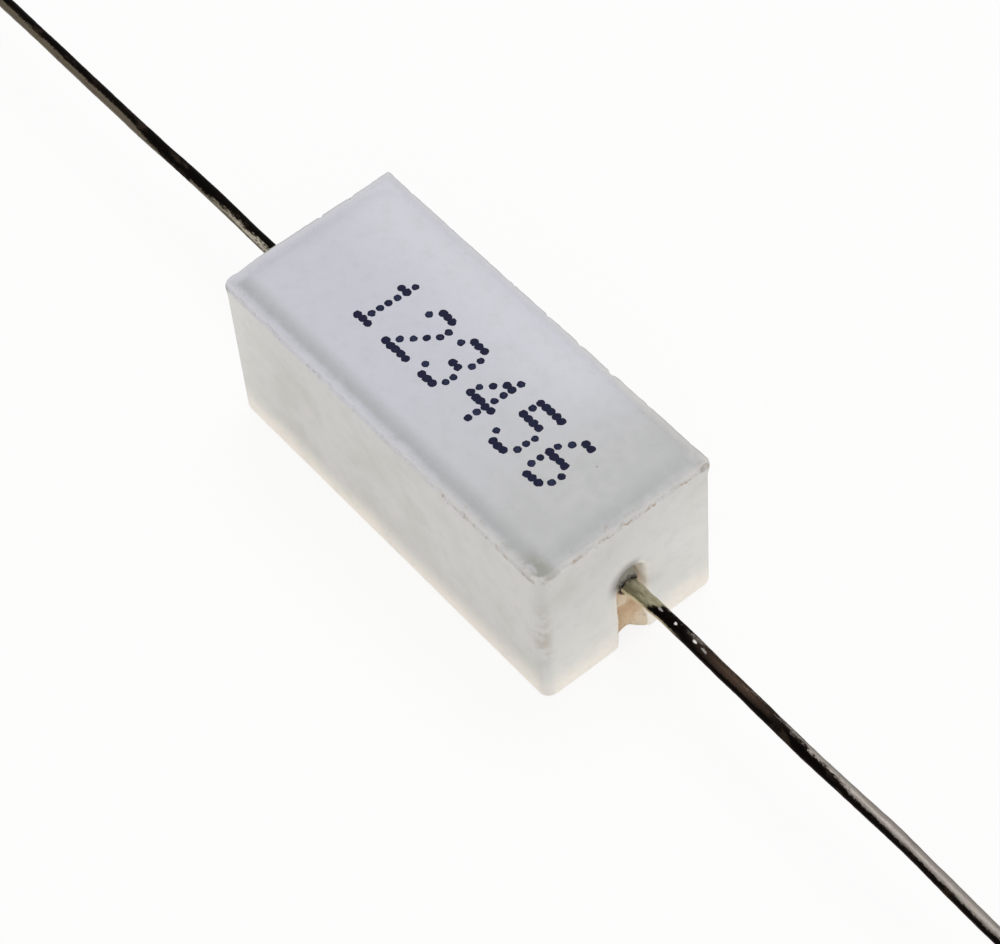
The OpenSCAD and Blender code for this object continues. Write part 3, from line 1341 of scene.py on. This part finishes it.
    def _slots(self) -> bmesh.types.BMesh:
        """The two solids that cut the lead slots, with softened mouths.

        Returns:
            Their mesh.
        """
        mesh = bmesh.new()
        radius = self.slot_w / 2
        centre_z = self.slot_crown - radius
        inner = self.length / 2 - self.end_wall - 0.5
        outer = self.length / 2 + 0.3
        turn = Matrix.Rotation(math.pi / 2, 4, "Y")
        spot = Matrix.Translation((inner, self.slot_y, centre_z)) @ turn
        bmesh.ops.create_circle(mesh, cap_ends=True, segments=64, radius=radius, matrix=spot)
        for vert in mesh.verts:
            if vert.co.z < centre_z - 1e-4:
                vert.co.z -= centre_z + 0.4
        pushed = bmesh.ops.extrude_face_region(mesh, geom=mesh.faces[:])
        ring = [g for g in pushed["geom"] if isinstance(g, bmesh.types.BMVert)]
        bmesh.ops.translate(mesh, verts=ring, vec=(outer - inner, 0, 0))
        for k in range(1, 5):
            bisect(mesh, (inner + k * 0.35, 0, 0), (1, 0, 0))
        for inset in (self.mouth_depth, 0.26, 0.19, 0.13, 0.08, 0.03, 0.0):
            bisect(mesh, (self.length / 2 - self.draft - inset, 0, 0), (1, 0, 0))
        for k in range(24):
            bisect(mesh, (0, 0, 0.5 + k * 0.2), (0, 0, 1))
        for k in range(9):
            bisect(mesh, (0, 0, 0.01 + k * 0.055), (0, 0, 1))
        for vert in mesh.verts:
            self._soften_slot(vert.co, centre_z)
        everything = mesh.verts[:] + mesh.edges[:] + mesh.faces[:]
        bmesh.ops.mirror(mesh, geom=everything, axis="X", merge_dist=-1)
        bmesh.ops.recalc_face_normals(mesh, faces=mesh.faces)
        return mesh

    def _soften_slot(self, place: Vector, centre_z: float) -> None:
        """Widens a slot's cutter at its mouth and foot, and makes it uneven.

        Args:
            place: A point of the cutter, which is moved.
            centre_z: Height at which the arch starts.
        """
        out = Vector((0, place.y - self.slot_y, max(0.0, place.z - centre_z)))
        if out.length < 0.5 * self.slot_w / 2:
            return
        out.normalize()
        inset = self.length / 2 - self.draft - place.x
        open_part = ease_in(inset, self.mouth_depth)
        mouth = self.slot_mouth * (1 - math.sqrt(max(0.0, 1 - open_part**2)))
        foot = max(0.0, self.slot_flare - max(0.0, place.z))
        foot = self.slot_flare - math.sqrt(self.slot_flare**2 - min(foot, self.slot_flare) ** 2)
        uneven = 0.05 * waves(place, 0.9, 2.0) + 0.02 * waves(place, 0.3, 6.0) - 0.13
        place += out * (mouth + uneven)
        place.y += math.copysign(foot, out.y)


@dataclass
class PottingCement:
    """Cement that fills the case, rough where it shows below and in the slots."""

    source: bpy.types.Object
    grain: float = 0.13
    face_z: float = 0.4
    half_length: float = 9.8
    half_width: float = 3.6
    slot_face: float = CEMENT_FACE_X
    lead_y: float = LEAD_Y
    lead_z: float = LEAD_Z
    bubbles: int = 60
    bubble_radii: tuple[float, ...] = (0.18, 0.22, 0.28, 0.4)
    bubble_margin: float = 0.4
    crease: float = 60.0
    seed: int = 21
    finish: CementFinish = field(default_factory=CementFinish)

    def build(self) -> bpy.types.Object:
        """Builds the cement.

        Returns:
            Its piece.
        """
        mesh = bmesh.new()
        mesh.from_mesh(self.source.data)
        bmesh.ops.remove_doubles(mesh, verts=mesh.verts, dist=1e-7)
        mesh.transform(Matrix.Scale(1 / METRES, 4))
        lump = loose_object("cement_lump", mesh)
        remesh = lump.modifiers.new("grains", "REMESH")
        remesh.mode = "VOXEL"
        remesh.voxel_size = self.grain
        settle(lump)
        mesh = take_back(lump)
        bubbles = self._bubbles()
        for vert in mesh.verts:
            self._roughen(vert.co, bubbles)
        fronts = [v for v in mesh.verts if abs(v.co.x) > self.slot_face - 0.1]
        bmesh.ops.smooth_vert(
            mesh, verts=fronts, factor=0.5, use_axis_x=True, use_axis_y=True, use_axis_z=True
        )
        set_creases(mesh, self.crease)
        material = self.finish.material()
        return add_piece("potting", mesh, material, Slot.CEMENT, "cement_fill")

    def _bubbles(self) -> list[tuple[Vector, float]]:
        """Open bubbles in the lower face.

        Returns:
            Centre and radius of each.
        """
        pick = random.Random(self.seed)
        made = []
        for _ in range(self.bubbles):
            x = pick.uniform(-1, 1) * (self.half_length - self.bubble_margin)
            y = pick.uniform(-1, 1) * (self.half_width - self.bubble_margin)
            made.append((Vector((x, y, self.face_z)), pick.choice(self.bubble_radii)))
        return made

    def _roughen(self, place: Vector, bubbles: list[tuple[Vector, float]]) -> None:
        """Moves a point of the cement where it shows.

        Args:
            place: The point, which is moved.
            bubbles: The open bubbles.
        """
        if place.z < self.face_z + 0.1 and abs(place.x) < self.half_length:
            self._roughen_below(place, bubbles)
        if place.z < self.face_z + 0.2 and abs(place.x) > self.half_length - 0.5:
            self._roughen_edge(place)
        if abs(place.x) > self.slot_face - 0.08:
            self._roughen_front(place)

    def _roughen_below(self, place: Vector, bubbles: list[tuple[Vector, float]]) -> None:
        """Moves a point of the lower face.

        Args:
            place: The point, which is moved.
            bubbles: The open bubbles.
        """
        wall = min(self.half_length - abs(place.x), self.half_width - abs(place.y))
        place.z += 0.06 * waves(place, 1.1, 1.0) + 0.035 * waves(place, 0.35, 2.0)
        place.z -= 0.2 * ease(wall, 0.5, 0.0)
        for centre, radius in bubbles:
            gap = (place - centre).length
            if gap < radius:
                place.z += 0.75 * radius * math.sqrt(1 - (gap / radius) ** 2)
        place.z = max(0.06, place.z)

    def _roughen_edge(self, place: Vector) -> None:
        """Moves a point of the lower edge in a slot.

        Args:
            place: The point, which is moved.
        """
        lower = 0.02 + 0.06 * waves(place, 0.4, 4.0) + 0.12 * ease(place.y, 0.3, 0.9)
        lower += 0.4 * ease(place.y, -0.15, -0.5)
        place.z -= lower * ease(abs(place.x), self.half_length - 0.5, self.half_length)
        place.z = max(0.04, place.z)

    def _roughen_front(self, place: Vector) -> None:
        """Moves a point of the face in a slot: collar, knob, creep up the walls and sag.

        Args:
            place: The point, which is moved.
        """
        away = math.hypot(place.y - self.lead_y, place.z - self.lead_z)
        collar = 0.68 * ease(away, 0.92, 0.42)
        creep = 0.16 * ease(abs(place.y - self.lead_y), 0.55, 0.85)
        sag = 0.24 * ease(place.z, 3.2, 1.6)
        sag += 0.4 * ease(place.y, 0.3, 0.95) * ease(place.z, 2.0, 0.8)
        lump = Vector((place.y + 0.05, place.z - 2.95)).length
        knob = 0.28 * ease(lump, 0.66, 0.3)
        rough = 0.09 * waves(place, 0.6, 3.0) + 0.06 * waves(place, 0.25, 8.0)
        ahead = max(collar, knob) + creep + sag + rough - 0.05
        place.x += math.copysign(1, place.x) * ahead


@dataclass
class LeadWire:
    """One lead: weld head, root in the cement, washed start and the long bare wire."""

    end: End
    bends: tuple[tuple[float, float], ...]
    dark_way: float
    finish: LeadFinish
    axis_y: float = LEAD_Y
    axis_z: float = LEAD_Z
    radius: float = 0.33
    head_r: float = 0.65
    head_x: float = 7.62
    head_t: float = 0.3
    root_x: float = 8.22
    face_x: float = CEMENT_FACE_X
    case_x: float = CASE_LENGTH / 2
    wash_r: float = 0.41
    wash_x: float = 13.0
    tip_x: float = 45.995
    chamfer: float = 0.1
    sides: int = 24
    near_rings: int = 40
    near_step: float = 0.09
    far_rings: int = 150
    crease: float = 40.0

    def build(self) -> bpy.types.Object:
        """Builds the lead.

        Returns:
            Its piece.
        """
        mesh = self._profile()
        bmesh.ops.spin(
            mesh, geom=mesh.verts[:] + mesh.edges[:], cent=(0, 0, 0), axis=(1, 0, 0),
            angle=2 * math.pi, steps=self.sides, use_merge=True,
        )
        bmesh.ops.remove_doubles(mesh, verts=mesh.verts, dist=1e-4)
        for x in self._rings():
            bisect(mesh, (x, 0, 0), (1, 0, 0))
        self._draw(mesh)
        bmesh.ops.recalc_face_normals(mesh, faces=mesh.faces)
        set_creases(mesh, self.crease)
        node = f"lead_{self.end.name.lower()}"
        name = f"wire_{self.end.name.lower()}"
        return add_piece(name, mesh, self.finish.material(), Slot.LEAD, node)

    def _profile(self) -> bmesh.types.BMesh:
        """Half section of the straight wire, by its corners.

        Returns:
            Its mesh, which is only edges.
        """
        mesh = bmesh.new()
        corners_xr = (
            (self.head_x, 0.0),
            (self.head_x, self.head_r),
            (self.head_x + self.head_t, self.head_r),
            (self.root_x, self.radius),
            (self.face_x, self.radius),
            (self.face_x + 0.02, self.wash_r),
            (self.wash_x, self.radius),
            (self.tip_x - self.chamfer, self.radius),
            (self.tip_x, self.radius - self.chamfer),
            (self.tip_x, 0.0),
        )
        points = [mesh.verts.new((x, 0, r)) for x, r in corners_xr]
        for first, second in zip(points, points[1:]):
            mesh.edges.new((first, second))
        return mesh

    def _rings(self) -> list[float]:
        """Places of the rings that let the wire bend and be uneven.

        Returns:
            The places along X, closest together near the case.
        """
        near = [self.face_x + 0.1 + self.near_step * k for k in range(self.near_rings)]
        count = self.far_rings
        span = self.tip_x - self.chamfer - near[-1]
        return near + [near[-1] + span * k / count for k in range(1, count)]

    def _draw(self, mesh: bmesh.types.BMesh) -> None:
        """Bends the straight wire, makes it uneven and stores its two attributes.

        Args:
            mesh: The wire along +X.
        """
        side_layer = mesh.verts.layers.float.new("side")
        out_layer = mesh.verts.layers.float.new("outward")
        sign = self.end.value
        seed = 11.0 + 7.0 * sign
        for vert in mesh.verts:
            place = vert.co
            turn = math.atan2(place.z, place.y)
            reach = math.hypot(place.y, place.z)
            # side is 1 towards dark_way, for the painted reflection of the wire.
            vert[side_layer] = math.cos(turn - self.dark_way) * min(1.0, reach / self.radius)
            vert[out_layer] = place.x - self.case_x
            drawn = Vector((place.x * 0.25, place.y, place.z))
            free = ease(place.x, self.face_x - 0.3, self.face_x)
            uneven = 0.02 * waves(drawn, 0.5, seed) + 0.012 * waves(place, 0.3, seed)
            wash = ease(place.x, self.wash_x + 0.6, self.wash_x - 1.2)
            uneven += 0.04 * wash * waves(place, 0.5, seed + 3)
            scale = 1 + free * uneven / max(reach, self.radius)
            shift = self._bend(place.x)
            place.y = place.y * scale + self.axis_y + shift
            place.z = place.z * scale + self.axis_z + 0.4 * free * self._bend(place.x * 0.9)
            place.x *= sign

    def _bend(self, x: float) -> float:
        """Sideways bend of the wire.

        Args:
            x: Distance from the middle of the case.

        Returns:
            How far the wire lies off its straight line, towards +Y.
        """
        for (x0, y0), (x1, y1) in zip(self.bends, self.bends[1:]):
            if x0 <= x <= x1:
                return y0 + (y1 - y0) * ease(x, x0, x1)
        return 0.0 if x < self.bends[0][0] else self.bends[-1][1]


@dataclass
class InkMarking:
    """Row of counting digits on the panel, in dots of ink."""

    case: CeramicCase
    digits: str = "123456"
    centres: tuple[float, ...] = (-4.93, -2.62, -0.44, 2.04, 4.40, 6.71)
    column: float = 0.34
    row: float = 0.47
    slant: float = 0.056
    dot_r: float = 0.195
    dot_h: float = 0.009
    crease: float = 80.0
    seed: int = 3
    finish: InkFinish = field(default_factory=InkFinish)

    PATTERNS = {
        "1": ("..#..", ".##..", "..#..", "..#..", "..#..", "..#..", ".###."),
        "2": (".###.", "#...#", "....#", "...#.", "..#..", ".#...", "#####"),
        "3": (".###.", "#...#", "....#", "..##.", "....#", "#...#", ".###."),
        "4": ("...#.", "..##.", ".#.#.", "#..#.", "#####", "...#.", "...#."),
        "5": ("#####", "#....", "####.", "....#", "....#", "#...#", ".###."),
        "6": ("..##.", ".#...", "#....", "####.", "#...#", "#...#", ".###."),
    }

    def build(self) -> bpy.types.Object:
        """Builds the marking.

        Returns:
            Its piece.
        """
        mesh = bmesh.new()
        layers = tuple(mesh.verts.layers.float.new(name) for name in ("load", "rim"))
        pick = random.Random(self.seed)
        for digit, centre in zip(self.digits, self.centres):
            for row, line in enumerate(self.PATTERNS[digit]):
                for column, mark in enumerate(line):
                    if mark == "#":
                        y = (3 - row) * self.row
                        x = centre + (column - 2) * self.column + self.slant * y
                        full = "##" in line[max(0, column - 1):column + 2]
                        self._dot(mesh, Vector((x, y, 0)), full, pick, layers)
        set_creases(mesh, self.crease)
        return add_piece("ink_digits", mesh, self.finish.material(), Slot.INK)

    def _dot(
        self,
        mesh: bmesh.types.BMesh,
        spot: Vector,
        full: bool,
        pick: random.Random,
        layers: tuple[Any, Any],
    ) -> None:
        """Adds one flat drop of ink that follows the panel.

        Args:
            mesh: The mesh that it is added to.
            spot: Its place in plan.
            full: Whether it is part of a bar, where the ink is thick.
            pick: Source of its random size.
            layers: The "load" and "rim" attributes.
        """
        spot = spot + Vector((pick.gauss(0, 0.012), pick.gauss(0, 0.016), 0))
        wide = self.dot_r * (pick.uniform(1.04, 1.16) if full else pick.uniform(0.9, 1.02))
        load = pick.uniform(0.6, 1.0) if full else pick.uniform(0.1, 0.7)
        made = bmesh.ops.create_uvsphere(mesh, u_segments=14, v_segments=6, radius=1.0)
        for vert in made["verts"]:
            x, y, z = vert.co
            reach = math.hypot(x, y)
            way = Vector((x, y, 0)) + spot * 3
            ragged = 1 + 0.2 * noise.noise(way * 2.1) + 0.1 * noise.noise(way * 5.0)
            vert[layers[0]] = load
            vert[layers[1]] = reach
            place = spot + Vector((x, y, 0)) * wide * ragged
            ground = self.case.land_z + self.case.relief(place.x, place.y)
            vert.co = Vector((place.x, place.y, ground + z * self.dot_h))


@dataclass
class WoundRod:
    """Rod, winding and caps inside the cement, which keep their CAD meshes."""

    nodes: dict[str, bpy.types.Object]

    def dress(self) -> None:
        """Gives each inner node its finish."""
        cap = CapFinish().material()
        finishes = {
            "ceramic_core": RodFinish().material(),
            "resistance_winding": WindingFinish().material(),
            "end_cap_left": cap,
            "end_cap_right": cap,
        }
        for name, material in finishes.items():
            for slot in self.nodes[name].material_slots:
                slot.material = material
            LOG.info("%s: dressed with %s", name, material.name)


@dataclass
class Studio:
    """White floor, soft light and the camera."""

    lens: float = 121.008
    sensor: float = 36.0
    eye: tuple[float, float, float] = (0.07435942, -0.05089794, 0.12359710)
    right: tuple[float, float, float] = (0.63597437, 0.76970195, -0.05563728)
    down: tuple[float, float, float] = (0.60047499, -0.53885552, -0.59081682)
    ahead: tuple[float, float, float] = (-0.48473331, 0.34233556, -0.80488507)
    sky: float = 0.7
    key_power: float = 1.0
    fill_power: float = 1.15
    key_spot: tuple[float, float, float] = (-0.1, 0.18, 0.6)
    key_size: float = 0.4
    fill_spot: tuple[float, float, float] = (0.5, -0.4, 0.16)
    fill_size: float = 0.5
    floor_size: float = 1.6
    nearest: float = 0.005
    farthest: float = 10.0

    def build(self) -> None:
        """Makes all of it."""
        self._floor()
        self._sky()
        self._lamp("key", self.key_spot, self.key_size, self.key_power)
        self._lamp("fill", self.fill_spot, self.fill_size, self.fill_power)
        self._camera()
        bpy.context.scene.view_settings.view_transform = "Standard"

    def _floor(self) -> None:
        """The sheet under the object."""
        mesh = bmesh.new()
        bmesh.ops.create_grid(mesh, x_segments=8, y_segments=8, size=self.floor_size / 2)
        floor = loose_object("floor", mesh)
        floor.data.materials.append(FloorFinish().material())

    def _sky(self) -> None:
        """Even light from all round, which is white where a camera or reflection sees it."""
        world = bpy.data.worlds.new("studio")
        world.use_nodes = True
        nodes = world.node_tree.nodes
        links = world.node_tree.links
        path = nodes.new("ShaderNodeLightPath")
        seen = path.outputs["Is Camera Ray"]
        for ray in ("Is Glossy Ray", "Is Transmission Ray"):
            either = nodes.new("ShaderNodeMath")
            either.operation = "MAXIMUM"
            links.new(seen, either.inputs[0])
            links.new(path.outputs[ray], either.inputs[1])
            seen = either.outputs[0]
        level = nodes.new("ShaderNodeMapRange")
        level.inputs["To Min"].default_value = self.sky
        level.inputs["To Max"].default_value = 1.0
        links.new(seen, level.inputs["Value"])
        backdrop = nodes["Background"]
        backdrop.inputs["Color"].default_value = (1, 1, 1, 1)
        links.new(level.outputs["Result"], backdrop.inputs["Strength"])
        bpy.context.scene.world = world

    @staticmethod
    def _lamp(name: str, spot: tuple[float, float, float], size: float, power: float) -> None:
        """Adds a soft square lamp that faces the object.

        Args:
            name: Its name.
            spot: Its place in metres.
            size: Its side in metres.
            power: Its power in watts.
        """
        data = bpy.data.lights.new(name, "AREA")
        data.size = size
        data.energy = power
        lamp = bpy.data.objects.new(name, data)
        lamp.location = spot
        lamp.rotation_mode = "QUATERNION"
        lamp.rotation_quaternion = (-Vector(spot)).to_track_quat("-Z", "Y")
        bpy.context.scene.collection.objects.link(lamp)

    def _camera(self) -> None:
        """The camera, at the angle of the picture."""
        data = bpy.data.cameras.new("camera")
        data.sensor_fit = "HORIZONTAL"
        data.sensor_width = self.sensor
        data.lens = self.lens
        data.clip_start = self.nearest
        data.clip_end = self.farthest
        camera = bpy.data.objects.new("camera", data)
        turned = Matrix((self.right, -Vector(self.down), -Vector(self.ahead))).transposed()
        camera.matrix_world = Matrix.Translation(self.eye) @ turned.to_4x4()
        bpy.context.scene.collection.objects.link(camera)
        bpy.context.scene.camera = camera


def right_lead() -> LeadWire:
    """The near lead, bright far out, with glints and a cream edge by the case as painted
    reflection.

    Returns:
        The lead, ready to build.
    """
    bends = (
        (10.3, 0.0), (12.0, 0.09), (13.2, 0.11), (17.0, 0.07), (22.0, 0.01),
        (27.0, 0.07), (33.0, -0.07), (40.0, -0.12), (46.0, -0.1),
    )
    finish = LeadFinish(
        "tarnished_wire_right",
        mid=paint(126, 118, 112),
        edge=paint(74, 56, 46),
        shift=1.15,
        edge_from=0.55,
        bright=paint(152, 147, 141),
        bright_rate=1.0,
        bright_from=8.0,
        cream_reflection_rate=0.75,
        worn_run=(3.0, 6.5, 10.0),
        glints=((1.8, 0.14, 0.35), (2.77, 0.09, 0.8), (4.0, 0.13, 0.7), (4.6, 0.2, 0.25)),
    )
    return LeadWire(End.RIGHT, bends, math.radians(225), finish)


def left_lead() -> LeadWire:
    """The far lead, dull and dark, with no cement wash outside the case.

    Returns:
        The lead, ready to build.
    """
    bends = (
        (10.3, 0.0), (15.0, -0.05), (19.0, -0.02), (25.0, -0.12), (36.0, -0.14),
        (46.0, -0.08),
    )
    finish = LeadFinish(
        "tarnished_wire_left",
        mid=paint(98, 90, 77),
        edge=paint(22, 21, 24),
        shift=0.12,
        edge_from=0.85,
        dull_from=9.0,
        wash_end=-0.2,
        dark_run=(6.0, 10.5, 15.5),
    )
    return LeadWire(End.LEFT, bends, math.radians(24), finish)


def main() -> None:
    """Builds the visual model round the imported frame."""
    logging.basicConfig(level=logging.INFO, format="%(name)s: %(message)s")
    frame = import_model()

    case = CeramicCase()
    case.build()
    PottingCement(frame["nodes"]["cement_fill"]).build()
    right_lead().build()
    left_lead().build()
    InkMarking(case).build()
    WoundRod(frame["nodes"]).dress()
    Studio().build()


if __name__ == "__main__":
    main()
